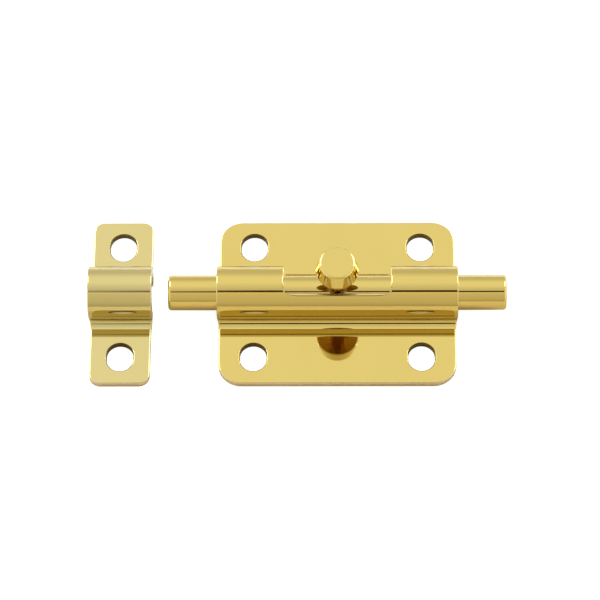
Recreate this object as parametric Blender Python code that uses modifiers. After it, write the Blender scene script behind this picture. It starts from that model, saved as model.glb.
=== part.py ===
"""Surface barrel bolt and its strike, in polished brass.

A pressed plate carries an arched barrel that guides a plain rod. A knob, screwed into the rod
through a window in the barrel, slides the rod into the loop of a separate pressed strike.
Both plates lie on their backs: X runs along the rod with the strike at -X, and Z points away
from the door. Every size is in metres.
"""

import math

import bmesh
import bpy

MM = 0.001

# Pressed sheet: the bolt plate and the strike share one cross-section.
SHEET = 1.75 * MM
PLATE_HEIGHT = 42.0 * MM
BARREL_RADIUS = 6.0 * MM
BARREL_FILLET = 0.8 * MM
FOOT_RADIUS = 3.8 * MM
FOOT_ANGLE = math.radians(30.0)
BARREL_OVERHANG = 0.4 * MM
AXIS_HEIGHT = 5.85 * MM

# Screw holes, a little taller than wide so that the plates can be set level.
HOLE_WIDTH = 6.0 * MM
HOLE_HEIGHT = 7.0 * MM
HOLE_SPACING_Y = 28.6 * MM

# Bolt plate.
PLATE_LENGTH = 53.5 * MM
PLATE_CORNER = 5.2 * MM
HOLE_SPACING_X = 37.8 * MM

# Window: it runs from the barrel's top down its upper side and ends in the flat of the plate.
WINDOW_LENGTH = 24.2 * MM
WINDOW_LOWER_EDGE = -3.25 * MM
WINDOW_UPPER_EDGE = 7.1 * MM
WINDOW_CORNER = 1.3 * MM
WINDOW_FLAT_CORNER = 0.6 * MM

# Strike.
STRIKE_LENGTH = 13.65 * MM
STRIKE_CORNER = 2.5 * MM
STRIKE_DISTANCE = 48.9 * MM

# Rod.
ROD_RADIUS = 3.97 * MM
ROD_LENGTH = 76.2 * MM
ROD_END_ROUND = 0.7 * MM
GROOVE_OFFSET = 15.2 * MM
GROOVE_WIDTH = 1.4 * MM
GROOVE_DEPTH = 1.0 * MM

# Knob: its heights are measured from the rod's axis.
KNOB_LEAN = math.radians(4.0)
KNOB_TOP = 15.1 * MM
FACE_RADIUS = 3.55 * MM
HEAD_ROUND = 0.5 * MM
HEAD_TAPER = math.radians(13.5)
RIM_RADIUS = 4.74 * MM
RIM_TOP = 11.75 * MM
RIM_BOTTOM = 11.0 * MM
RIM_ROUND = 0.15 * MM
STEM_RADIUS = 2.03 * MM
STEM_BOTTOM = 3.5 * MM
SHANK_RADIUS = 1.5 * MM
SHANK_BOTTOM = -2.6 * MM

# Friction spring: a bowed leaf behind the rod, with a tab in each of the rod's grooves.
LEAF_THICKNESS = 0.4 * MM
LEAF_WIDTH = 5.0 * MM
LEAF_LOW = 0.35 * MM
LEAF_HIGH = 1.15 * MM
TAB_TOP = 2.45 * MM

GAP = 0.3 * MM

# Worked out from the sizes above.
FOOT_Z = SHEET + FOOT_RADIUS
FILLET_Z = FOOT_Z - (FOOT_RADIUS - BARREL_FILLET) * math.cos(FOOT_ANGLE)
FILLET_REACH = BARREL_RADIUS + BARREL_FILLET
TANGENT = math.asin((AXIS_HEIGHT - FILLET_Z) / FILLET_REACH)
FILLET_Y = FILLET_REACH * math.cos(TANGENT)
FOOT_Y = FILLET_Y + (FOOT_RADIUS - BARREL_FILLET) * math.sin(FOOT_ANGLE)
PLATE_X = (STRIKE_DISTANCE + STRIKE_LENGTH / 2 + BARREL_OVERHANG - ROD_LENGTH / 2) / 2
STRIKE_X = PLATE_X - STRIKE_DISTANCE

QUARTER = math.pi / 2
ALONG_X = (QUARTER, 0, QUARTER)
TURN_STEPS = 36
SHARP_ANGLE = math.radians(30)
CUT_DEPTH = 40 * MM


def clear_scene():
    for obj in list(bpy.data.objects):
        bpy.data.objects.remove(obj, do_unlink=True)


def new_collection(name, hidden=False):
    collection = bpy.data.collections.new(name)
    bpy.context.scene.collection.children.link(collection)
    collection.hide_render = hidden
    return collection


def metal(name, colour, roughness):
    material = bpy.data.materials.new(name)
    material.use_nodes = True
    shader = material.node_tree.nodes["Principled BSDF"]
    shader.inputs["Base Color"].default_value = (*colour, 1)
    shader.inputs["Metallic"].default_value = 1
    shader.inputs["Roughness"].default_value = roughness
    material.diffuse_color = (*colour, 1)
    return material


def arc(centre, radius, start, end, steps):
    """Points on an arc from one angle to another, both ends included."""
    points = []
    for step in range(steps + 1):
        angle = start + (end - start) * step / steps
        points.append((centre[0] + radius * math.cos(angle), centre[1] + radius * math.sin(angle)))
    return points


def other_side(points):
    return [(-across, up) for across, up in points]


def face_line(depth):
    """Half of one face of the sheet as (Y, Z) points, at a depth below the front face.

    From the flat it sweeps up through a wide foot and a tight fillet and wraps the rod's axis.
    """
    foot_end = 3 * QUARTER - FOOT_ANGLE
    line = arc((FOOT_Y, FOOT_Z), FOOT_RADIUS + depth, 3 * QUARTER, foot_end, 5)
    line += arc((FILLET_Y, FILLET_Z), BARREL_FILLET + depth, foot_end, math.pi - TANGENT, 7)[1:]
    return line + arc((0, AXIS_HEIGHT), BARREL_RADIUS - depth, -TANGENT, QUARTER, 16)[1:]


def sheet_section(height):
    """Outline of the pressed sheet across the barrel, as (Y, Z) points."""
    front = [(height / 2, SHEET)] + face_line(0)
    back = [(height / 2, 0)] + face_line(SHEET)
    over_the_top = front + other_side(front[:-1])[::-1]
    back_again = other_side(back) + back[:-1][::-1]
    return over_the_top + back_again


def plan_side(length, height, corner):
    """One end of a plate in plan, from its lower corner to its upper one.

    The barrel stands a little further out than the flat of the plate, and the sheet's edge
    sweeps out to it along the foot.
    """
    flat = length / 2
    lower = arc((flat - corner, corner - height / 2), corner, -QUARTER, 0, 6)
    sweep = []
    steps = 5
    for step in range(steps + 1):
        part = step / steps
        across = flat + BARREL_OVERHANG * (1 - math.cos(math.pi * part)) / 2
        sweep.append((across, -FOOT_Y + part * (FOOT_Y - BARREL_RADIUS)))
    half = lower + sweep
    return half + [(across, -up) for across, up in reversed(half)]


def plan_outline(length, height, corner):
    side = plan_side(length, height, corner)
    return side + [(-across, -up) for across, up in side]


def slot_outline(width, height):
    """A hole with straight sides and half-round ends, one above the other."""
    radius = width / 2
    shift = height / 2 - radius
    return arc((0, shift), radius, 0, math.pi, 12) + arc((0, -shift), radius, -math.pi, 0, 12)


def window_outline():
    """The window in plan: larger round corners on the barrel, smaller ones in the flat."""
    half = WINDOW_LENGTH / 2
    low = (half - WINDOW_CORNER, WINDOW_LOWER_EDGE + WINDOW_CORNER)
    high = (half - WINDOW_FLAT_CORNER, WINDOW_UPPER_EDGE - WINDOW_FLAT_CORNER)
    right = arc(low, WINDOW_CORNER, -QUARTER, 0, 6) + arc(high, WINDOW_FLAT_CORNER, 0, QUARTER, 4)
    return right + other_side(right)[::-1]


def solid_from_outline(name, points, thickness, collection, turn=(0, 0, 0), place=(0, 0, 0)):
    """A closed mesh: a flat outline given a thickness centred on the object's origin."""
    curve = bpy.data.curves.new(name, "CURVE")
    curve.dimensions = "2D"
    curve.fill_mode = "BOTH"
    curve.extrude = thickness / 2
    spline = curve.splines.new("POLY")
    spline.points.add(len(points) - 1)
    for point, (across, up) in zip(spline.points, points):
        point.co = (across, up, 0, 1)
    spline.use_cyclic_u = True
    guide = bpy.data.objects.new(name + "_outline", curve)
    guide.rotation_euler = turn
    guide.location = place
    collection.objects.link(guide)
    bpy.context.view_layer.update()
    graph = bpy.context.evaluated_depsgraph_get()
    mesh = bpy.data.meshes.new_from_object(guide.evaluated_get(graph))
    mesh.name = name
    weld(mesh)
    solid = bpy.data.objects.new(name, mesh)
    solid.matrix_world = guide.matrix_world
    collection.objects.link(solid)
    bpy.data.objects.remove(guide, do_unlink=True)
    return solid


def weld(mesh):
    work = bmesh.new()
    work.from_mesh(mesh)
    bmesh.ops.remove_doubles(work, verts=work.verts, dist=0.001 * MM)
    bmesh.ops.recalc_face_normals(work, faces=work.faces)
    work.to_mesh(mesh)
    work.free()


def turned(name, profile, collection, turn, place):
    """A solid of revolution about the object's Z, from (radius, height) points, top first."""
    mesh = bpy.data.meshes.new(name)
    vertices = [(radius, 0, height) for radius, height in profile]
    edges = [(index, index + 1) for index in range(len(profile) - 1)]
    mesh.from_pydata(vertices, edges, [])
    obj = bpy.data.objects.new(name, mesh)
    obj.rotation_euler = turn
    obj.location = place
    collection.objects.link(obj)
    screw = obj.modifiers.new("Turn", "SCREW")
    screw.steps = TURN_STEPS
    screw.render_steps = TURN_STEPS
    screw.use_merge_vertices = True
    screw.merge_threshold = 0.001 * MM
    return obj


def combine(obj, other, operation):
    boolean = obj.modifiers.new(other.name, "BOOLEAN")
    boolean.operation = operation
    boolean.solver = "EXACT"
    boolean.object = other
    other.display_type = "WIRE"
    other.hide_render = True


def finish(obj, material):
    """Fix the shape that the modifiers give, shade it and give it its metal."""
    bpy.context.view_layer.update()
    graph = bpy.context.evaluated_depsgraph_get()
    shape = bpy.data.meshes.new_from_object(obj.evaluated_get(graph))
    obj.modifiers.clear()
    obj.data = shape
    shape.name = obj.name
    shape.materials.clear()
    shape.materials.append(material)
    shape.shade_smooth()
    shape.set_sharp_from_angle(angle=SHARP_ANGLE)


def pressed_plate(name, length, corner, centre_x, hole_columns, parts, cutters):
    """A plate with its barrel and screw holes, cut out of the extruded section."""
    section = sheet_section(PLATE_HEIGHT)
    place = (centre_x, 0, 0)
    plate = solid_from_outline(name, section, length + 4 * BARREL_OVERHANG, parts, ALONG_X, place)
    outline = plan_outline(length, PLATE_HEIGHT, corner)
    plan = solid_from_outline(name + "_plan", outline, CUT_DEPTH, cutters, place=place)
    combine(plate, plan, "INTERSECT")
    hole = slot_outline(HOLE_WIDTH, HOLE_HEIGHT)
    for column, offset in enumerate(hole_columns):
        for row, side in enumerate((-1, 1)):
            spot = (centre_x + offset, side * HOLE_SPACING_Y / 2, 0)
            label = f"{name}_hole_{column}{row}"
            cutter = solid_from_outline(label, hole, CUT_DEPTH, cutters, place=spot)
            combine(plate, cutter, "DIFFERENCE")
    return plate


def make_bolt_plate(parts, cutters, brass):
    columns = (-HOLE_SPACING_X / 2, HOLE_SPACING_X / 2)
    sizes = (PLATE_LENGTH, PLATE_CORNER, PLATE_X)
    plate = pressed_plate("bolt_plate", *sizes, columns, parts, cutters)
    spot = (PLATE_X, 0, 0)
    window = solid_from_outline("window_cut", window_outline(), CUT_DEPTH, cutters, place=spot)
    combine(plate, window, "DIFFERENCE")
    finish(plate, brass)


def make_strike_plate(parts, cutters, brass):
    sizes = (STRIKE_LENGTH, STRIKE_CORNER, STRIKE_X)
    strike = pressed_plate("strike_plate", *sizes, (0,), parts, cutters)
    finish(strike, brass)


def rod_profile():
    """Half of the rod's outline from its end to its middle, then the same mirrored."""
    end = ROD_LENGTH / 2
    floor = ROD_RADIUS - GROOVE_DEPTH
    groove_top = GROOVE_OFFSET + GROOVE_WIDTH / 2
    groove_bottom = GROOVE_OFFSET - GROOVE_WIDTH / 2
    edge = (ROD_RADIUS - ROD_END_ROUND, end - ROD_END_ROUND)
    upper = [(0, end)] + arc(edge, ROD_END_ROUND, QUARTER, 0, 4)
    upper += [(ROD_RADIUS, groove_top), (floor, groove_top)]
    upper += [(floor, groove_bottom), (ROD_RADIUS, groove_bottom)]
    return upper + [(radius, -height) for radius, height in reversed(upper)]


def knob_hole_profile():
    """The drilled hole for the knob's shank, under a flat seat for its stem."""
    seat = STEM_BOTTOM - GAP
    wide = STEM_RADIUS + 1.5 * GAP
    narrow = SHANK_RADIUS + GAP
    bottom = SHANK_BOTTOM - GAP
    top = 2 * ROD_RADIUS
    return [(0, top), (wide, top), (wide, seat), (narrow, seat), (narrow, bottom), (0, bottom)]


def knob_profile():
    """The knob from its face down: tapered head, narrow rim, stem and shank."""
    rim = RIM_RADIUS - RIM_ROUND
    profile = [(0, KNOB_TOP)]
    profile += arc((FACE_RADIUS, KNOB_TOP - HEAD_ROUND), HEAD_ROUND, QUARTER, HEAD_TAPER, 6)
    profile += arc((rim, RIM_TOP - RIM_ROUND), RIM_ROUND, HEAD_TAPER, 0, 2)
    profile += arc((rim, RIM_BOTTOM + RIM_ROUND), RIM_ROUND, 0, -QUARTER, 3)
    profile += [(STEM_RADIUS, RIM_BOTTOM), (STEM_RADIUS, STEM_BOTTOM)]
    profile += [(SHANK_RADIUS, STEM_BOTTOM), (SHANK_RADIUS, SHANK_BOTTOM), (0, SHANK_BOTTOM)]
    return profile


def make_bolt(parts, cutters, brass):
    """The rod and the knob, both with their origins on the rod's axis."""
    centre = (PLATE_X, 0, AXIS_HEIGHT)
    lean = (KNOB_LEAN, 0, 0)
    rod = turned("bolt_rod", rod_profile(), parts, (0, QUARTER, 0), centre)
    hole = turned("knob_hole", knob_hole_profile(), cutters, lean, centre)
    combine(rod, hole, "DIFFERENCE")
    finish(rod, brass)
    knob = turned("knob", knob_profile(), parts, lean, centre)
    finish(knob, brass)
    return rod, knob


def leaf_line():
    """The spring's middle line from end to end, as (X, Z) points: tab, bow, tab."""
    bow = []
    steps = 24
    for step in range(steps + 1):
        part = 2 * step / steps - 1
        rise = (1 - math.cos(math.pi * part)) / 2
        bow.append((GROOVE_OFFSET * part, LEAF_LOW + (LEAF_HIGH - LEAF_LOW) * rise))
    return [(-GROOVE_OFFSET, TAB_TOP)] + bow + [(GROOVE_OFFSET, TAB_TOP)]


def make_friction_spring(parts, steel):
    """A strip of sheet that follows the leaf's line, thickened on both sides of it."""
    mesh = bpy.data.meshes.new("friction_spring")
    work = bmesh.new()
    near = [work.verts.new((along, -LEAF_WIDTH / 2, up)) for along, up in leaf_line()]
    edges = [work.edges.new(pair) for pair in zip(near, near[1:])]
    strip = bmesh.ops.extrude_edge_only(work, edges=edges)
    far = [item for item in strip["geom"] if isinstance(item, bmesh.types.BMVert)]
    bmesh.ops.translate(work, verts=far, vec=(0, LEAF_WIDTH, 0))
    bmesh.ops.recalc_face_normals(work, faces=work.faces)
    work.to_mesh(mesh)
    work.free()
    spring = bpy.data.objects.new("friction_spring", mesh)
    spring.location = (PLATE_X, 0, 0)
    parts.objects.link(spring)
    thick = spring.modifiers.new("Thickness", "SOLIDIFY")
    thick.thickness = LEAF_THICKNESS
    thick.offset = 0
    thick.use_even_offset = True
    finish(spring, steel)
    return spring


def main():
    clear_scene()
    parts = new_collection("barrel_bolt")
    cutters = new_collection("cutters", hidden=True)
    brass = metal("polished_brass", (0.80, 0.64, 0.30), 0.08)
    pale_brass = metal("pale_brass", (0.80, 0.67, 0.38), 0.10)
    steel = metal("spring_steel", (0.56, 0.55, 0.52), 0.30)

    make_bolt_plate(parts, cutters, brass)
    make_strike_plate(parts, cutters, pale_brass)
    rod, knob = make_bolt(parts, cutters, brass)
    spring = make_friction_spring(parts, steel)

    bolt_axis = bpy.data.objects.new("bolt_axis", None)
    bolt_axis.location = (PLATE_X, 0, AXIS_HEIGHT)
    parts.objects.link(bolt_axis)
    bpy.context.view_layer.update()
    for moving in (rod, knob, spring):
        moving.parent = bolt_axis
        moving.matrix_parent_inverse = bolt_axis.matrix_world.inverted()


main()
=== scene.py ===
"""Looks of the barrel bolt and its strike: polished brass on a white studio table.

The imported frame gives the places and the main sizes. Both pressed plates are cut out flat with
their edges buffed round and then bent to the barrel's section, as the real ones are made.
"""

import math

import bmesh
import bpy
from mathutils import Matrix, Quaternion, Vector


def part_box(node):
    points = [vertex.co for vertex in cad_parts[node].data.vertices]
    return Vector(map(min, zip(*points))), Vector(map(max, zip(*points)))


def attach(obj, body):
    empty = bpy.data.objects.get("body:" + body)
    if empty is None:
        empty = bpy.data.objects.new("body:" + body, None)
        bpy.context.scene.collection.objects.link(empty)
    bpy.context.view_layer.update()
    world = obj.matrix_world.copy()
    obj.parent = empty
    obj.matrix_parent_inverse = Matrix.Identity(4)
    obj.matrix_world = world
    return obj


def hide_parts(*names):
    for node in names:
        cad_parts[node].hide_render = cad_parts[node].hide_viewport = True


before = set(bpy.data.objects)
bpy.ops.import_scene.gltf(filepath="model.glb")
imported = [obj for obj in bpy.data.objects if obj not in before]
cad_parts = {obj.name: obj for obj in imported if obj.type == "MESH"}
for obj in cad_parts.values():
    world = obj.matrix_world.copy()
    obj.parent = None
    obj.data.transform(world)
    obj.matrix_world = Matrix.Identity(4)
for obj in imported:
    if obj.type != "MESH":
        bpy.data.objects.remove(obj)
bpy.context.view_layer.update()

MM = 0.001
QUARTER = math.pi / 2

# Sizes read from the frame.
ROD_LOW, ROD_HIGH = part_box("bolt_rod")
PLATE_LOW, PLATE_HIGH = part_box("bolt_plate")
STRIKE_LOW, STRIKE_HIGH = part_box("strike_plate")
ROD_RADIUS = (ROD_HIGH.y - ROD_LOW.y) / 2
ROD_LENGTH = ROD_HIGH.x - ROD_LOW.x
AXIS = (ROD_LOW + ROD_HIGH) / 2
PLATE_X = (PLATE_LOW.x + PLATE_HIGH.x) / 2
STRIKE_X = (STRIKE_LOW.x + STRIKE_HIGH.x) / 2
PLATE_HEIGHT = PLATE_HIGH.y - PLATE_LOW.y
BARREL_RADIUS = PLATE_HIGH.z - AXIS.z

# Sizes of the pressings that the boxes don't give. The punch draws the window's lower edge down
# over the roll's width, and this fades out towards the window's ends.
SHEET = 1.75 * MM
BARREL_FILLET = 0.8 * MM
FOOT_RADIUS = 3.8 * MM
FOOT_ANGLE = math.radians(30.0)
OVERHANG = 0.4 * MM
EDGE_ROUND = 0.28 * MM
PLATE_CORNER = 5.2 * MM
STRIKE_CORNER = 2.5 * MM
HOLE_WIDTH = 6.0 * MM
HOLE_HEIGHT = 7.0 * MM
HOLE_SPACING_X = 37.8 * MM
HOLE_SPACING_Y = 28.6 * MM
WINDOW_LENGTH = 24.2 * MM
WINDOW_LOWER_EDGE = 3.25 * MM
WINDOW_UPPER_EDGE = 7.1 * MM
WINDOW_CORNER = 1.3 * MM
WINDOW_FLAT_CORNER = 0.6 * MM
ROLL_WIDTH = 0.85 * MM
ROLL_DEPTH = 0.25 * MM
ROLL_FADE = 3.5 * MM

# The bent section: the barrel, a tight fillet and a wide foot. Runs are measured along the
# sheet's middle from the barrel's crown.
MIDDLE_RADIUS = BARREL_RADIUS - SHEET / 2
FILLET_RADIUS = BARREL_FILLET + SHEET / 2
FOOT_MIDDLE = FOOT_RADIUS + SHEET / 2
FOOT_Z = SHEET + FOOT_RADIUS
FILLET_Z = FOOT_Z - (FOOT_RADIUS - BARREL_FILLET) * math.cos(FOOT_ANGLE)
TANGENT = math.asin((AXIS.z - FILLET_Z) / (BARREL_RADIUS + BARREL_FILLET))
FILLET_Y = (BARREL_RADIUS + BARREL_FILLET) * math.cos(TANGENT)
FOOT_Y = FILLET_Y + (FOOT_RADIUS - BARREL_FILLET) * math.sin(FOOT_ANGLE)
FILLET_WRAP = QUARTER + TANGENT - FOOT_ANGLE
BARREL_RUN = MIDDLE_RADIUS * (QUARTER + TANGENT)
FOOT_RUN = BARREL_RUN + FILLET_RADIUS * FILLET_WRAP
FLAT_RUN = FOOT_RUN + FOOT_MIDDLE * FOOT_ANGLE
HALF_BLANK = FLAT_RUN + PLATE_HEIGHT / 2 - FOOT_Y
WINDOW_LOW_RUN = -MIDDLE_RADIUS * math.asin(WINDOW_LOWER_EDGE / BARREL_RADIUS)
WINDOW_HIGH_ANGLE = math.asin((FOOT_Y - WINDOW_UPPER_EDGE) / FOOT_RADIUS)
WINDOW_HIGH_RUN = FLAT_RUN - FOOT_MIDDLE * WINDOW_HIGH_ANGLE

# Rod, knob and spring. The knob's heights are measured from the rod's axis, and the spring's from
# the plates' backs.
ROD_END_ROUND = 0.7 * MM
GROOVE_OFFSET = 15.2 * MM
GROOVE_WIDTH = 1.4 * MM
GROOVE_DEPTH = 1.0 * MM
GROOVE_EDGE = 0.12 * MM
KNOB_LEAN = math.radians(4.0)
KNOB_TOP = 15.1 * MM
FACE_RADIUS = 3.55 * MM
HEAD_ROUND = 0.5 * MM
HEAD_TAPER = math.radians(13.5)
RIM_RADIUS = 4.74 * MM
RIM_TOP = 11.75 * MM
RIM_BOTTOM = 11.0 * MM
RIM_ROUND = 0.15 * MM
STEM_RADIUS = 2.03 * MM
STEM_BOTTOM = 3.5 * MM
SHANK_RADIUS = 1.5 * MM
SHANK_BOTTOM = -2.6 * MM
LEAF_THICKNESS = 0.4 * MM
LEAF_WIDTH = 5.0 * MM
LEAF_LOW = 0.35 * MM
LEAF_HIGH = 1.15 * MM
LEAF_EDGE = 0.06 * MM
TAB_TOP = 2.45 * MM
GAP = 0.3 * MM
SEAT_GAP = 1.5 * GAP

# How finely the round stretches are divided.
CORNER_STEPS = 16
BULGE_STEPS = 12
HOLE_STEPS = 40
WINDOW_STEPS = 12
WINDOW_FLAT_STEPS = 10
BEND_STEP = math.radians(2)
ROLL_STEPS = 14
FADE_STEPS = 10
EDGE_RINGS = 4
ROD_END_STEPS = 12
GROOVE_STEPS = 4
HEAD_STEPS = 16
RIM_TOP_STEPS = 3
RIM_BOTTOM_STEPS = 6
TURN_STEPS = 128
LEAF_STEPS = 48
LEAF_EDGE_STEPS = 3

# Limits used on the meshes. A tilt is the upward part of a face's normal, from 0 on an upright
# wall to 1 on a level face, and a slope is its sideways part.
SHARP_ANGLE = math.radians(35)
WELD = 0.0001 * MM
LEVEL_TILT = 0.9999
TOP_TILT = 0.01
SLOPE = 0.05
WALL_TILT = 0.85
HOLE_RIM_TILT = 0.97
HOLE_REACH = HOLE_HEIGHT / 2 + 0.5 * MM
BROAD_FACE_WEIGHT = 100

# Places in a piece's list of metals. The polished one comes first, at 0.
EDGE_METAL = 1
# The holes' metal is a very dark brass that paints the shade inside the screw holes.
HOLE_SHADE_METAL = 2
# The under metal is a darker brass that paints the shade under the knob's head.
UNDER_SHADE_METAL = 1

# Metals: each has a lighter and a deeper shade, and a lowest and a highest roughness.
BRASS = (0.65, 0.505, 0.152)
BRASS_DEEP = (0.635, 0.49, 0.145)
PALE_BRASS = (0.63, 0.53, 0.22)
PALE_BRASS_DEEP = (0.615, 0.515, 0.21)
CUT_EDGE = (0.70, 0.60, 0.38)
CUT_EDGE_DEEP = (0.60, 0.50, 0.30)
# The holes' walls and rims: a very dark brass, which is painted shade inside the screw holes.
# Their sheared roughness is the punched finish.
HOLE_SHADE = (0.16, 0.10, 0.012)
HOLE_SHADE_DEEP = (0.10, 0.06, 0.006)
# Under the knob's head and on its stem: a darker brass, which is painted shade under the head. Its
# turned roughness is the unbuffed finish.
UNDER_SHADE = (0.42, 0.26, 0.07)
UNDER_SHADE_DEEP = (0.36, 0.22, 0.05)
STEEL = (0.56, 0.55, 0.52)
STEEL_DEEP = (0.48, 0.46, 0.44)
POLISHED = (0.03, 0.07)
TURNED = (0.1, 0.2)
SHEARED = (0.18, 0.35)
ROLLED = (0.2, 0.35)

# Metal finish: each noise has a scale in features per metre and a detail.
EVEN = (1, 1, 1)
STREAK = (0.08, 1, 1)
DRIFT = (60, 3)
LINES = (2500, 4)
WAVES = (180, 1)
LINE_HEIGHT = 0.00002 * MM
WAVE_HEIGHT = 0.002 * MM
NOISE_LOW = 0.3
NOISE_HIGH = 0.7

# Studio. Angles run from 0 overhead to 90 at the front horizon and -90 at the back one, and
# sideways places from 0 in the middle to 1 at the two sides. The tent is a list of angles, each
# with its brightness and colour. The opening and the lamps reach from one angle to another.
FULL_TURN = 360
WHITE = (1, 1, 1)
WARM = (1, 0.93, 0.78)
TENT = [
    (-180, 0.6, WHITE),
    (-90, 0.7, WHITE),
    (-68, 0.68, WHITE),
    (-40, 0.98, WHITE),
    (-14, 0.98, WHITE),
    (22, 0.64, WHITE),
    (28, 0.86, WARM),
    (36, 0.76, WARM),
    (46, 0.72, WARM),
    (73, 0.65, WARM),
    (89, 0.5, WARM),
    (180, 0.6, WARM),
]
OPENING = (20.4, 28.6)
OPENING_MIDDLE = 0.03
OPENING_SIDE = (0.05, 0.15)
OPENING_LIGHT = (0.06, 0.02, 0.0)
LAMP = (-54, -19)
LAMP_SIDE = (0.40, 0.66)
LAMP_LIGHT = (7.5, 8.0, 9.5)
SIDE_START = 0.4
SIDE_FULL = 0.75
SIDE_LIGHT = (1.1, 1.1, 1.1)
STUDIO_LIGHT = 1.23
CARD_SIZE = 200 * MM
WARM_CARD = (0.64, 0.56, 0.42)
PALE_CARD = (0.77, 0.77, 0.77)
TABLE = (0.4, 0.4, 0.4)
TABLE_GLOW = 0.85
TABLE_ROUGHNESS = 0.9
FLOOR_SIZE = 6000 * MM
FLOOR_GAP = 0.05 * MM

# Camera.
LENS = 200
CAMERA_DISTANCE = 756 * MM
CAMERA_AZIMUTH = 1.4
CAMERA_ELEVATION = 60
CAMERA_ROLL = -1.3
AIM = (0.54 * MM, 0.44 * MM, SHEET)
CLIP_NEAR = CAMERA_DISTANCE / 100
CLIP_FAR = CAMERA_DISTANCE * 20


def arc(centre, radius, start, end, steps):
    """Points on an arc from one angle to another, both ends included."""
    points = []
    for step in range(steps + 1):
        angle = start + (end - start) * step / steps
        points.append((centre[0] + radius * math.cos(angle), centre[1] + radius * math.sin(angle)))
    return points


def other_side(points):
    """The same points mirrored from side to side."""
    return [(-across, up) for across, up in points]


def turned_over(points):
    """The same points turned by half a turn."""
    return [(-across, -up) for across, up in points]


def placed(name, data, place=(0, 0, 0)):
    """A new object in the scene."""
    thing = bpy.data.objects.new(name, data)
    thing.location = place
    bpy.context.scene.collection.objects.link(thing)
    return thing


def mesh_from(name, work):
    """A new mesh with everything that was worked on, which is then let go."""
    mesh = bpy.data.meshes.new(name)
    work.to_mesh(mesh)
    work.free()
    return mesh


# ---------------------------------------------------------------- pressed plates


def blank_outline(length, corner):
    """The flat blank's outline. Its ends bulge a little where the barrel will be."""
    flat = length / 2
    side = arc((flat - corner, corner - HALF_BLANK), corner, -QUARTER, 0, CORNER_STEPS)
    for step in range(BULGE_STEPS + 1):
        part = step / BULGE_STEPS
        reach = flat + OVERHANG * (1 - math.cos(math.pi * part)) / 2
        side.append((reach, -FLAT_RUN + part * (FLAT_RUN - BARREL_RUN)))
    side += [(across, -up) for across, up in reversed(side)]
    return side + turned_over(side)


def hole_outline(centre):
    """A screw hole in the blank: straight sides, half-round ends."""
    radius = HOLE_WIDTH / 2
    shift = HOLE_HEIGHT / 2 - radius
    upper = arc((centre[0], centre[1] + shift), radius, 0, math.pi, HOLE_STEPS)
    return upper + arc((centre[0], centre[1] - shift), radius, -math.pi, 0, HOLE_STEPS)


def hole_centres(columns):
    """The screw holes' middles in the blank, a pair on each column."""
    reach = FLAT_RUN + HOLE_SPACING_Y / 2 - FOOT_Y
    return [(column, side * reach) for column in columns for side in (-1, 1)]


def window_outline():
    """The window in the blank: larger round corners on the barrel, smaller ones in the flat."""
    half = WINDOW_LENGTH / 2
    low = (half - WINDOW_CORNER, WINDOW_LOW_RUN + WINDOW_CORNER)
    high = (half - WINDOW_FLAT_CORNER, WINDOW_HIGH_RUN - WINDOW_FLAT_CORNER)
    right = arc(low, WINDOW_CORNER, -QUARTER, 0, WINDOW_STEPS)
    right += arc(high, WINDOW_FLAT_CORNER, 0, QUARTER, WINDOW_FLAT_STEPS)
    return right + other_side(right)[::-1]


def flat_sheet(name, outlines):
    """A closed flat blank in (length, run, thickness), every edge rounded."""
    curve = bpy.data.curves.new(name, "CURVE")
    curve.dimensions = "2D"
    curve.fill_mode = "BOTH"
    curve.extrude = SHEET / 2 - EDGE_ROUND
    curve.bevel_depth = EDGE_ROUND
    curve.bevel_resolution = EDGE_RINGS
    curve.offset = -EDGE_ROUND
    for outline in outlines:
        spline = curve.splines.new("POLY")
        spline.points.add(len(outline) - 1)
        for point, (across, up) in zip(spline.points, outline):
            point.co = (across, up, 0, 1)
        spline.use_cyclic_u = True
    guide = placed(name, curve)
    graph = bpy.context.evaluated_depsgraph_get()
    mesh = bpy.data.meshes.new_from_object(guide.evaluated_get(graph))
    bpy.data.objects.remove(guide)
    bpy.data.curves.remove(curve)
    return mesh


def bend_lines():
    """Runs at which the blank is divided so that it can take the bends."""
    bends = ((0, BARREL_RUN, QUARTER + TANGENT), (BARREL_RUN, FOOT_RUN, FILLET_WRAP))
    bends += ((FOOT_RUN, FLAT_RUN, FOOT_ANGLE),)
    lines = []
    for start, end, wrap in bends:
        steps = round(wrap / BEND_STEP)
        lines += [start + (end - start) * step / steps for step in range(steps + 1)]
    unique = sorted({round(line, 7) for line in lines})
    return [-line for line in unique[:0:-1]] + unique


def roll_lines():
    """Divisions for the rolled edge: runs below the window, and places near its two ends."""
    steps = range(1, ROLL_STEPS + 1)
    runs = [WINDOW_LOW_RUN - ROLL_WIDTH * step / ROLL_STEPS for step in steps]
    steps = range(FADE_STEPS + 1)
    places = [WINDOW_LENGTH / 2 - ROLL_FADE * step / FADE_STEPS for step in steps]
    return runs, places + [-place for place in places]


def divide(work, lines, way):
    """Cut across every face where the lines cross it, at these distances along the way."""
    for line in lines:
        everything = work.verts[:] + work.edges[:] + work.faces[:]
        cut = {"plane_co": Vector(way) * line, "plane_no": way}
        bmesh.ops.bisect_plane(work, geom=everything, dist=WELD, **cut)


def rolled(point, normal):
    """The blank's top along the window's lower edge, drawn down by the punch.

    Its section is a quarter of an ellipse, wide along the sheet and shallow through it.
    """
    along, run, height = point
    inside = (WINDOW_LENGTH / 2 - abs(along)) / ROLL_FADE
    share = (1 - math.cos(math.pi * min(max(inside, 0), 1))) / 2
    width = share * ROLL_WIDTH
    depth = share * ROLL_DEPTH
    left = width - max(WINDOW_LOW_RUN - run, 0)
    past_window = run > WINDOW_LOW_RUN + WINDOW_CORNER
    if height <= 0 or left <= 0 or past_window:
        return point, normal
    part = left / width
    rise = math.sqrt(1 - part * part)
    point = Vector((along, run, min(height, SHEET / 2 - depth + depth * rise)))
    if normal.z > TOP_TILT:
        normal = Vector((0, part * depth, rise * width)).normalized()
    return point, normal


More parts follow.
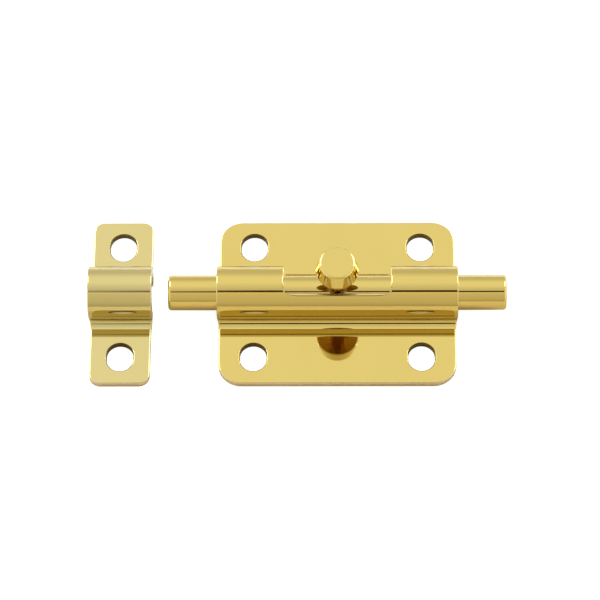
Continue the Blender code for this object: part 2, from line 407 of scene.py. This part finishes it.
def edge_directions(work):
    """For each vertex on an edge, the way the edge faces in the plane of the blank."""
    facing = {}
    for vert in work.verts:
        total = Vector((0, 0, 0))
        for face in vert.link_faces:
            flat = Vector((face.normal.x, face.normal.y, 0))
            if flat.length > SLOPE:
                total += flat.normalized()
        facing[vert.index] = total.normalized()
    return facing


def flat_normal(face, vert, facing):
    """The true normal of the rounded blank at one corner of a face."""
    if abs(face.normal.z) > LEVEL_TILT:
        return Vector((0, 0, math.copysign(1, face.normal.z)))
    rise = (abs(vert.co.z) - (SHEET / 2 - EDGE_ROUND)) / EDGE_ROUND
    rise = min(max(rise, 0), 1)
    level = math.sqrt(1 - rise * rise)
    out = facing[vert.index]
    return Vector((out.x * level, out.y * level, math.copysign(rise, vert.co.z)))


def section_point(run, height):
    """Where the blank's run and height end up on the formed section, and the way out from it."""
    if run >= FLAT_RUN:
        return (FOOT_Y + run - FLAT_RUN, SHEET / 2 + height), (0.0, 1.0)
    if run <= BARREL_RUN:
        angle = run / MIDDLE_RADIUS
        outward = (math.sin(angle), math.cos(angle))
        reach = MIDDLE_RADIUS + height
        return (reach * outward[0], AXIS.z + reach * outward[1]), outward
    if run <= FOOT_RUN:
        angle = math.pi - TANGENT + (run - BARREL_RUN) / FILLET_RADIUS
        centre = (FILLET_Y, FILLET_Z)
        reach = FILLET_RADIUS - height
    else:
        angle = 3 * QUARTER - FOOT_ANGLE + (run - FOOT_RUN) / FOOT_MIDDLE
        centre = (FOOT_Y, FOOT_Z)
        reach = FOOT_MIDDLE - height
    outward = (-math.cos(angle), -math.sin(angle))
    return (centre[0] - reach * outward[0], centre[1] - reach * outward[1]), outward


def bent(point, normal):
    """Where a point of the blank goes when the barrel is formed, and its new normal."""
    along, run, height = point
    side = math.copysign(1, run)
    spot, outward = section_point(abs(run), height)
    tangent = (outward[1], -outward[0])
    turned_y = normal.y * side * tangent[0] + normal.z * outward[0]
    turned_z = normal.y * side * tangent[1] + normal.z * outward[1]
    place = (along, side * spot[0], spot[1])
    return place, (normal.x, side * turned_y, turned_z)


def sort_walls(work, centres):
    """Give the outer edges their sheared metal, and the screw holes' walls and rims a very dark
    brass that paints the shade inside the holes.
    """
    for face in work.faces:
        middle = face.calc_center_median()
        tilt = abs(face.normal.z)
        near = any((middle.xy - Vector(centre)).length < HOLE_REACH for centre in centres)
        if near and tilt < HOLE_RIM_TILT:
            face.material_index = HOLE_SHADE_METAL
        elif tilt < WALL_TILT:
            face.material_index = EDGE_METAL


def cut_for_bending(work, windowed):
    """Divide the blank along its bends, and finely beside the window's rolled edge."""
    divide(work, bend_lines(), (0, 1, 0))
    if windowed:
        runs, places = roll_lines()
        divide(work, runs, (0, 1, 0))
        divide(work, places, (1, 0, 0))
    work.verts.index_update()
    work.faces.index_update()
    work.normal_update()


def bend(work, centre_x, windowed):
    """Form the blank, and return the true normal of each corner of each face, in their order."""
    facing = edge_directions(work)
    normals = []
    places = {}
    for face in work.faces:
        for vert in face.verts:
            point = vert.co
            flat = flat_normal(face, vert, facing)
            if windowed:
                point, flat = rolled(point, flat)
            place, normal = bent(point, flat)
            places[vert.index] = place
            normals.append(normal)
    for vert in work.verts:
        across, up, out = places[vert.index]
        vert.co = (centre_x + across, up, out)
    return normals


def pressed_plate(name, centre_x, outlines, centres, windowed):
    """A whole pressed plate, bent from its blank, with exact normals for a mirror finish."""
    mesh = flat_sheet(name, outlines)
    work = bmesh.new()
    work.from_mesh(mesh)
    bmesh.ops.remove_doubles(work, verts=work.verts, dist=WELD)
    bmesh.ops.recalc_face_normals(work, faces=work.faces)
    cut_for_bending(work, windowed)
    sort_walls(work, centres)
    normals = bend(work, centre_x, windowed)
    work.to_mesh(mesh)
    work.free()
    mesh.shade_smooth()
    mesh.normals_split_custom_set(normals)
    return placed(name, mesh)


def make_bolt_plate():
    """The plate with four screw holes and the window."""
    length = PLATE_HIGH.x - PLATE_LOW.x - 2 * OVERHANG
    centres = hole_centres((-HOLE_SPACING_X / 2, HOLE_SPACING_X / 2))
    outlines = [blank_outline(length, PLATE_CORNER), window_outline()]
    outlines += [hole_outline(centre) for centre in centres]
    return pressed_plate("brass_bolt_plate", PLATE_X, outlines, centres, True)


def make_strike():
    """The narrow plate with two screw holes and no window."""
    length = STRIKE_HIGH.x - STRIKE_LOW.x - 2 * OVERHANG
    centres = hole_centres((0,))
    outlines = [blank_outline(length, STRIKE_CORNER)]
    outlines += [hole_outline(centre) for centre in centres]
    return pressed_plate("brass_strike", STRIKE_X, outlines, centres, False)


# ---------------------------------------------------------------- rod, knob and spring


def lathe(name, profile):
    """A turned solid about Z from (radius, height) points that start and end on the axis."""
    work = bmesh.new()
    line = [work.verts.new((radius, 0, height)) for radius, height in profile]
    edges = [work.edges.new(pair) for pair in zip(line, line[1:])]
    turn = {"cent": (0, 0, 0), "axis": (0, 0, 1), "angle": math.tau, "steps": TURN_STEPS}
    bmesh.ops.spin(work, geom=line + edges, **turn)
    bmesh.ops.remove_doubles(work, verts=work.verts, dist=WELD)
    bmesh.ops.recalc_face_normals(work, faces=work.faces)
    return placed(name, mesh_from(name, work))


def rod_profile():
    """The rod from end to end. Each end is rounded, with a groove near it for the spring's tab."""
    end = ROD_LENGTH / 2
    floor = ROD_RADIUS - GROOVE_DEPTH
    top = GROOVE_OFFSET + GROOVE_WIDTH / 2
    bottom = GROOVE_OFFSET - GROOVE_WIDTH / 2
    lip = ROD_RADIUS - GROOVE_EDGE
    rounding = (ROD_RADIUS - ROD_END_ROUND, end - ROD_END_ROUND)
    upper = [(0, end)]
    upper += arc(rounding, ROD_END_ROUND, QUARTER, 0, ROD_END_STEPS)
    upper += arc((lip, top + GROOVE_EDGE), GROOVE_EDGE, 0, -QUARTER, GROOVE_STEPS)
    upper += [(floor, top), (floor, bottom)]
    upper += arc((lip, bottom - GROOVE_EDGE), GROOVE_EDGE, QUARTER, 0, GROOVE_STEPS)
    return upper + [(radius, -height) for radius, height in reversed(upper)]


def knob_hole_profile():
    """The hole drilled in the rod: a flat seat for the knob's stem, then the shank's hole."""
    seat = STEM_BOTTOM - GAP
    wide = STEM_RADIUS + SEAT_GAP
    narrow = SHANK_RADIUS + GAP
    bottom = SHANK_BOTTOM - GAP
    top = 2 * ROD_RADIUS
    return [(0, top), (wide, top), (wide, seat), (narrow, seat), (narrow, bottom), (0, bottom)]


def knob_profile():
    """The knob from its face down: tapered head, narrow rim, stem and shank."""
    face = (FACE_RADIUS, KNOB_TOP - HEAD_ROUND)
    rim = RIM_RADIUS - RIM_ROUND
    profile = [(0, KNOB_TOP)]
    profile += arc(face, HEAD_ROUND, QUARTER, HEAD_TAPER, HEAD_STEPS)
    profile += arc((rim, RIM_TOP - RIM_ROUND), RIM_ROUND, HEAD_TAPER, 0, RIM_TOP_STEPS)
    profile += arc((rim, RIM_BOTTOM + RIM_ROUND), RIM_ROUND, 0, -QUARTER, RIM_BOTTOM_STEPS)
    profile += [(STEM_RADIUS, RIM_BOTTOM), (STEM_RADIUS, STEM_BOTTOM)]
    profile += [(SHANK_RADIUS, STEM_BOTTOM), (SHANK_RADIUS, SHANK_BOTTOM), (0, SHANK_BOTTOM)]
    return profile


def smooth_edges(piece):
    """Smooth shading in which broad faces stay true beside narrow rounded ones."""
    piece.data.shade_smooth()
    piece.data.set_sharp_from_angle(angle=SHARP_ANGLE)
    weighted = piece.modifiers.new("Broad faces first", "WEIGHTED_NORMAL")
    weighted.keep_sharp = True
    weighted.weight = BROAD_FACE_WEIGHT


def make_rod():
    """The rod, with the knob's hole drilled into it."""
    rod = lathe("brass_rod", rod_profile())
    rod.rotation_euler = (0, QUARTER, 0)
    rod.location = AXIS
    hole = lathe("knob_hole", knob_hole_profile())
    hole.rotation_euler = (KNOB_LEAN, 0, 0)
    hole.location = AXIS
    drill = rod.modifiers.new("Knob hole", "BOOLEAN")
    drill.operation = "DIFFERENCE"
    drill.object = hole
    bpy.context.view_layer.update()
    graph = bpy.context.evaluated_depsgraph_get()
    drilled = bpy.data.meshes.new_from_object(rod.evaluated_get(graph))
    rod.modifiers.clear()
    rod.data = drilled
    bpy.data.objects.remove(hole)
    smooth_edges(rod)
    return rod


def mark_under_shade(knob):
    """The darker brass goes under the head and on the stem: painted shade under the head, and
    rougher where the buffing wheel doesn't reach.
    """
    for face in knob.data.polygons:
        if face.center.z < RIM_BOTTOM + GAP:
            face.material_index = UNDER_SHADE_METAL


def make_knob():
    """The knob, leaning as it is left at rest."""
    knob = lathe("brass_knob", knob_profile())
    mark_under_shade(knob)
    knob.rotation_euler = (KNOB_LEAN, 0, 0)
    knob.location = AXIS
    smooth_edges(knob)
    return knob


def leaf_line():
    """The spring's middle line from end to end, as (X, Z) points: tab, bow, tab."""
    bow = []
    for step in range(LEAF_STEPS + 1):
        part = 2 * step / LEAF_STEPS - 1
        rise = (1 - math.cos(math.pi * part)) / 2
        bow.append((GROOVE_OFFSET * part, LEAF_LOW + (LEAF_HIGH - LEAF_LOW) * rise))
    return [(-GROOVE_OFFSET, TAB_TOP)] + bow + [(GROOVE_OFFSET, TAB_TOP)]


def make_spring():
    """The bowed leaf behind the rod, with its edges eased."""
    work = bmesh.new()
    near = [work.verts.new((along, -LEAF_WIDTH / 2, up)) for along, up in leaf_line()]
    edges = [work.edges.new(pair) for pair in zip(near, near[1:])]
    strip = bmesh.ops.extrude_edge_only(work, edges=edges)
    far = [item for item in strip["geom"] if isinstance(item, bmesh.types.BMVert)]
    bmesh.ops.translate(work, verts=far, vec=(0, LEAF_WIDTH, 0))
    bmesh.ops.recalc_face_normals(work, faces=work.faces)
    spring = placed("leaf_spring", mesh_from("leaf_spring", work), (AXIS.x, 0, 0))
    thick = spring.modifiers.new("Thickness", "SOLIDIFY")
    thick.thickness = LEAF_THICKNESS
    thick.offset = 0
    thick.use_even_offset = True
    eased = spring.modifiers.new("Eased edges", "BEVEL")
    eased.width = LEAF_EDGE
    eased.segments = LEAF_EDGE_STEPS
    eased.limit_method = "ANGLE"
    smooth_edges(spring)
    return spring


# ---------------------------------------------------------------- metals


def node(tree, kind, **values):
    """A shader node with its settings and its inputs' values."""
    made = tree.nodes.new("ShaderNode" + kind)
    for key, value in values.items():
        if hasattr(made, key):
            setattr(made, key, value)
        else:
            made.inputs[key.replace("_", " ").title()].default_value = value
    return made


def noise(tree, place, stretch, kind):
    """Noise in the metal, drawn out along the piece's own axes by the given stretch."""
    scale, detail = kind
    mapping = node(tree, "Mapping", scale=stretch)
    tree.links.new(place, mapping.inputs["Vector"])
    grain = node(tree, "TexNoise", scale=scale, detail=detail)
    tree.links.new(mapping.outputs["Vector"], grain.inputs["Vector"])
    return grain.outputs["Fac"]


def spread(tree, value, low, high):
    """Map the middle of a noise's range onto low to high."""
    scaled = node(tree, "MapRange", from_min=NOISE_LOW, from_max=NOISE_HIGH)
    scaled.inputs["To Min"].default_value = low
    scaled.inputs["To Max"].default_value = high
    tree.links.new(value, scaled.inputs["Value"])
    return scaled.outputs["Result"]


def raised(tree, height, size):
    """A bump of the given size where the noise is high."""
    bump = node(tree, "Bump", strength=1, distance=size)
    tree.links.new(height, bump.inputs["Height"])
    return bump


def buffed_metal(name, light, deep, gloss):
    """Polished metal: faint lines along the piece's own X, a soft colour drift and low waves."""
    material = bpy.data.materials.new(name)
    material.use_nodes = True
    tree = material.node_tree
    shader = tree.nodes["Principled BSDF"]
    shader.inputs["Metallic"].default_value = 1
    place = node(tree, "TexCoord").outputs["Object"]

    drift = noise(tree, place, EVEN, DRIFT)
    tint = node(tree, "Mix", data_type="RGBA")
    tint.inputs["A"].default_value = (*light, 1)
    tint.inputs["B"].default_value = (*deep, 1)
    tree.links.new(spread(tree, drift, 0, 1), tint.inputs["Factor"])
    tree.links.new(tint.outputs["Result"], shader.inputs["Base Color"])

    lines = noise(tree, place, STREAK, LINES)
    tree.links.new(spread(tree, lines, *gloss), shader.inputs["Roughness"])

    low_waves = raised(tree, noise(tree, place, EVEN, WAVES), WAVE_HEIGHT)
    fine_lines = raised(tree, lines, LINE_HEIGHT)
    tree.links.new(low_waves.outputs["Normal"], fine_lines.inputs["Normal"])
    tree.links.new(fine_lines.outputs["Normal"], shader.inputs["Normal"])
    return material


# ---------------------------------------------------------------- studio


def math_node(tree, operation, first, second=None):
    """One step of arithmetic on sockets or plain numbers."""
    made = node(tree, "Math", operation=operation)
    for socket, value in zip(made.inputs, (first, second)):
        if isinstance(value, bpy.types.NodeSocket):
            tree.links.new(value, socket)
        elif value is not None:
            socket.default_value = value
    return made.outputs["Value"]


def between(tree, value, low, high):
    """1 where the value lies between the two limits, 0 elsewhere."""
    above = math_node(tree, "GREATER_THAN", value, low)
    below = math_node(tree, "LESS_THAN", value, high)
    return math_node(tree, "MULTIPLY", above, below)


def fade(tree, value, start, end):
    """A smooth change from 0 at the start to 1 at the end."""
    change = node(tree, "MapRange", interpolation_type="SMOOTHSTEP", from_min=start, from_max=end)
    tree.links.new(value, change.inputs["Value"])
    return change.outputs["Result"]


def blend(tree, share, under, light):
    """Replace a share of the colour under it with light of one colour."""
    mixed = node(tree, "Mix", data_type="RGBA")
    tree.links.new(share, mixed.inputs["Factor"])
    tree.links.new(under, mixed.inputs["A"])
    mixed.inputs["B"].default_value = (*light, 1)
    return mixed.outputs["Result"]


def tent_colours(tree, degrees):
    """The tent's brightness by angle, as a ramp over the whole turn."""
    share = math_node(tree, "MULTIPLY_ADD", degrees, 1 / FULL_TURN)
    share.node.inputs[2].default_value = 0.5
    tent = node(tree, "ValToRGB")
    tree.links.new(share, tent.inputs["Fac"])
    stops = tent.color_ramp.elements
    while len(stops) > 1:
        stops.remove(stops[-1])
    for index, (angle, bright, colour) in enumerate(TENT):
        position = angle / FULL_TURN + 0.5
        stop = stops[0] if index == 0 else stops.new(position)
        stop.position = position
        stop.color = (*[bright * part for part in colour], 1)
    return tent.outputs["Color"]


def lamp_share(tree, degrees, sideways):
    """1 inside the two lamp boxes, one on each side, and 0 elsewhere."""
    height = between(tree, degrees, *LAMP)
    width = between(tree, sideways, *LAMP_SIDE)
    return math_node(tree, "MULTIPLY", height, width)


def opening_share(tree, degrees, across):
    """1 inside the dark opening at the front, fading to 0 at its two sides."""
    height = between(tree, degrees, *OPENING)
    off_middle = math_node(tree, "SUBTRACT", across, OPENING_MIDDLE)
    distance = math_node(tree, "ABSOLUTE", off_middle)
    inner, outer = OPENING_SIDE
    width = fade(tree, distance, outer, inner)
    return math_node(tree, "MULTIPLY", height, width)


def studio_world():
    """A white tent with plain light at its sides, two lamp boxes and a dark opening in front.

    Its brightness follows the angle over the object from behind to in front.
    """
    world = bpy.data.worlds.new("studio")
    world.use_nodes = True
    bpy.context.scene.world = world
    tree = world.node_tree
    direction = node(tree, "TexCoord").outputs["Generated"]
    parts = node(tree, "SeparateXYZ")
    tree.links.new(direction, parts.inputs["Vector"])
    towards_front = math_node(tree, "MULTIPLY", parts.outputs["Y"], -1)
    angle = math_node(tree, "ARCTAN2", towards_front, parts.outputs["Z"])
    degrees = math_node(tree, "DEGREES", angle)
    sideways = math_node(tree, "ABSOLUTE", parts.outputs["X"])

    colour = tent_colours(tree, degrees)
    colour = blend(tree, fade(tree, sideways, SIDE_START, SIDE_FULL), colour, SIDE_LIGHT)
    colour = blend(tree, lamp_share(tree, degrees, sideways), colour, LAMP_LIGHT)
    opening = opening_share(tree, degrees, parts.outputs["X"])
    colour = blend(tree, opening, colour, OPENING_LIGHT)
    background = tree.nodes["Background"]
    background.inputs["Strength"].default_value = STUDIO_LIGHT
    tree.links.new(colour, background.inputs["Color"])


def floor_sheet(name, size, place, colour, glow):
    """A level square of one colour. Its place is how far back and how high its middle lies."""
    work = bmesh.new()
    bmesh.ops.create_grid(work, x_segments=2, y_segments=2, size=size / 2)
    floor = placed(name, mesh_from(name, work), (AXIS.x, *place))
    material = bpy.data.materials.new(name)
    material.use_nodes = True
    shader = material.node_tree.nodes["Principled BSDF"]
    shader.inputs["Base Color"].default_value = (*colour, 1)
    shader.inputs["Roughness"].default_value = TABLE_ROUGHNESS
    shader.inputs["Specular IOR Level"].default_value = 0
    shader.inputs["Emission Color"].default_value = (*WHITE, 1)
    shader.inputs["Emission Strength"].default_value = glow
    floor.data.materials.append(material)
    return floor


def make_floor():
    """The camera sees a table lit to pure white. The metal reflects two cards under it instead.

    The card in front of the object is warm and the one behind it pale.
    """
    seen = floor_sheet("white_table", FLOOR_SIZE, (0, -FLOOR_GAP), TABLE, TABLE_GLOW)
    seen.visible_diffuse = False
    seen.visible_glossy = False
    seen.visible_shadow = False
    cards = (("warm_card", -CARD_SIZE / 2, WARM_CARD), ("pale_card", CARD_SIZE / 2, PALE_CARD))
    for name, middle, colour in cards:
        card = floor_sheet(name, CARD_SIZE, (middle, -2 * FLOOR_GAP), colour, 0.0)
        card.visible_camera = False


def make_camera():
    """A long lens that looks down on the plates from in front."""
    turn = math.radians(CAMERA_AZIMUTH)
    rise = math.radians(CAMERA_ELEVATION)
    level = math.cos(rise)
    back = Vector((math.sin(turn) * level, -math.cos(turn) * level, math.sin(rise)))
    place = Vector(AIM) + back * CAMERA_DISTANCE
    camera = placed("camera", bpy.data.cameras.new("camera"), place)
    camera.data.lens = LENS
    camera.data.clip_start = CLIP_NEAR
    camera.data.clip_end = CLIP_FAR
    aim = (-back).to_track_quat("-Z", "Y")
    roll = Quaternion((0, 0, 1), math.radians(CAMERA_ROLL))
    camera.rotation_euler = (aim @ roll).to_euler()
    bpy.context.scene.camera = camera


# ---------------------------------------------------------------- assembly


def fit(piece, body, cad_node, slot, *materials):
    """Give a piece its materials, tie it to its body and hide its CAD node. The slot is not used.
    """
    for material in materials:
        piece.data.materials.append(material)
    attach(piece, body)
    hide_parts(cad_node)


def main():
    """Every piece with its metals, then the studio."""
    brass = buffed_metal("polished_brass", BRASS, BRASS_DEEP, POLISHED)
    pale = buffed_metal("pale_brass", PALE_BRASS, PALE_BRASS_DEEP, POLISHED)
    steel = buffed_metal("spring_steel", STEEL, STEEL_DEEP, ROLLED)
    edges = buffed_metal("sheared_brass", CUT_EDGE, CUT_EDGE_DEEP, SHEARED)
    # The holes' metal paints the shade inside the screw holes in a very dark brass.
    holes = buffed_metal("punched_brass_painted_shade", HOLE_SHADE, HOLE_SHADE_DEEP, SHEARED)
    fit(make_bolt_plate(), "plates", "bolt_plate", "polished_brass", brass, edges, holes)
    fit(make_strike(), "plates", "strike_plate", "pale_brass", pale, edges, holes)
    fit(make_rod(), "bolt", "bolt_rod", "polished_brass", brass)
    # The knob's under metal paints the shade under its head in a darker brass.
    under = buffed_metal("unbuffed_brass_painted_shade", UNDER_SHADE, UNDER_SHADE_DEEP, TURNED)
    fit(make_knob(), "bolt", "knob", "polished_brass", brass, under)
    fit(make_spring(), "spring", "friction_spring", "spring_steel", steel)
    make_floor()
    studio_world()
    make_camera()
    bpy.context.scene.view_settings.view_transform = "Standard"


main()
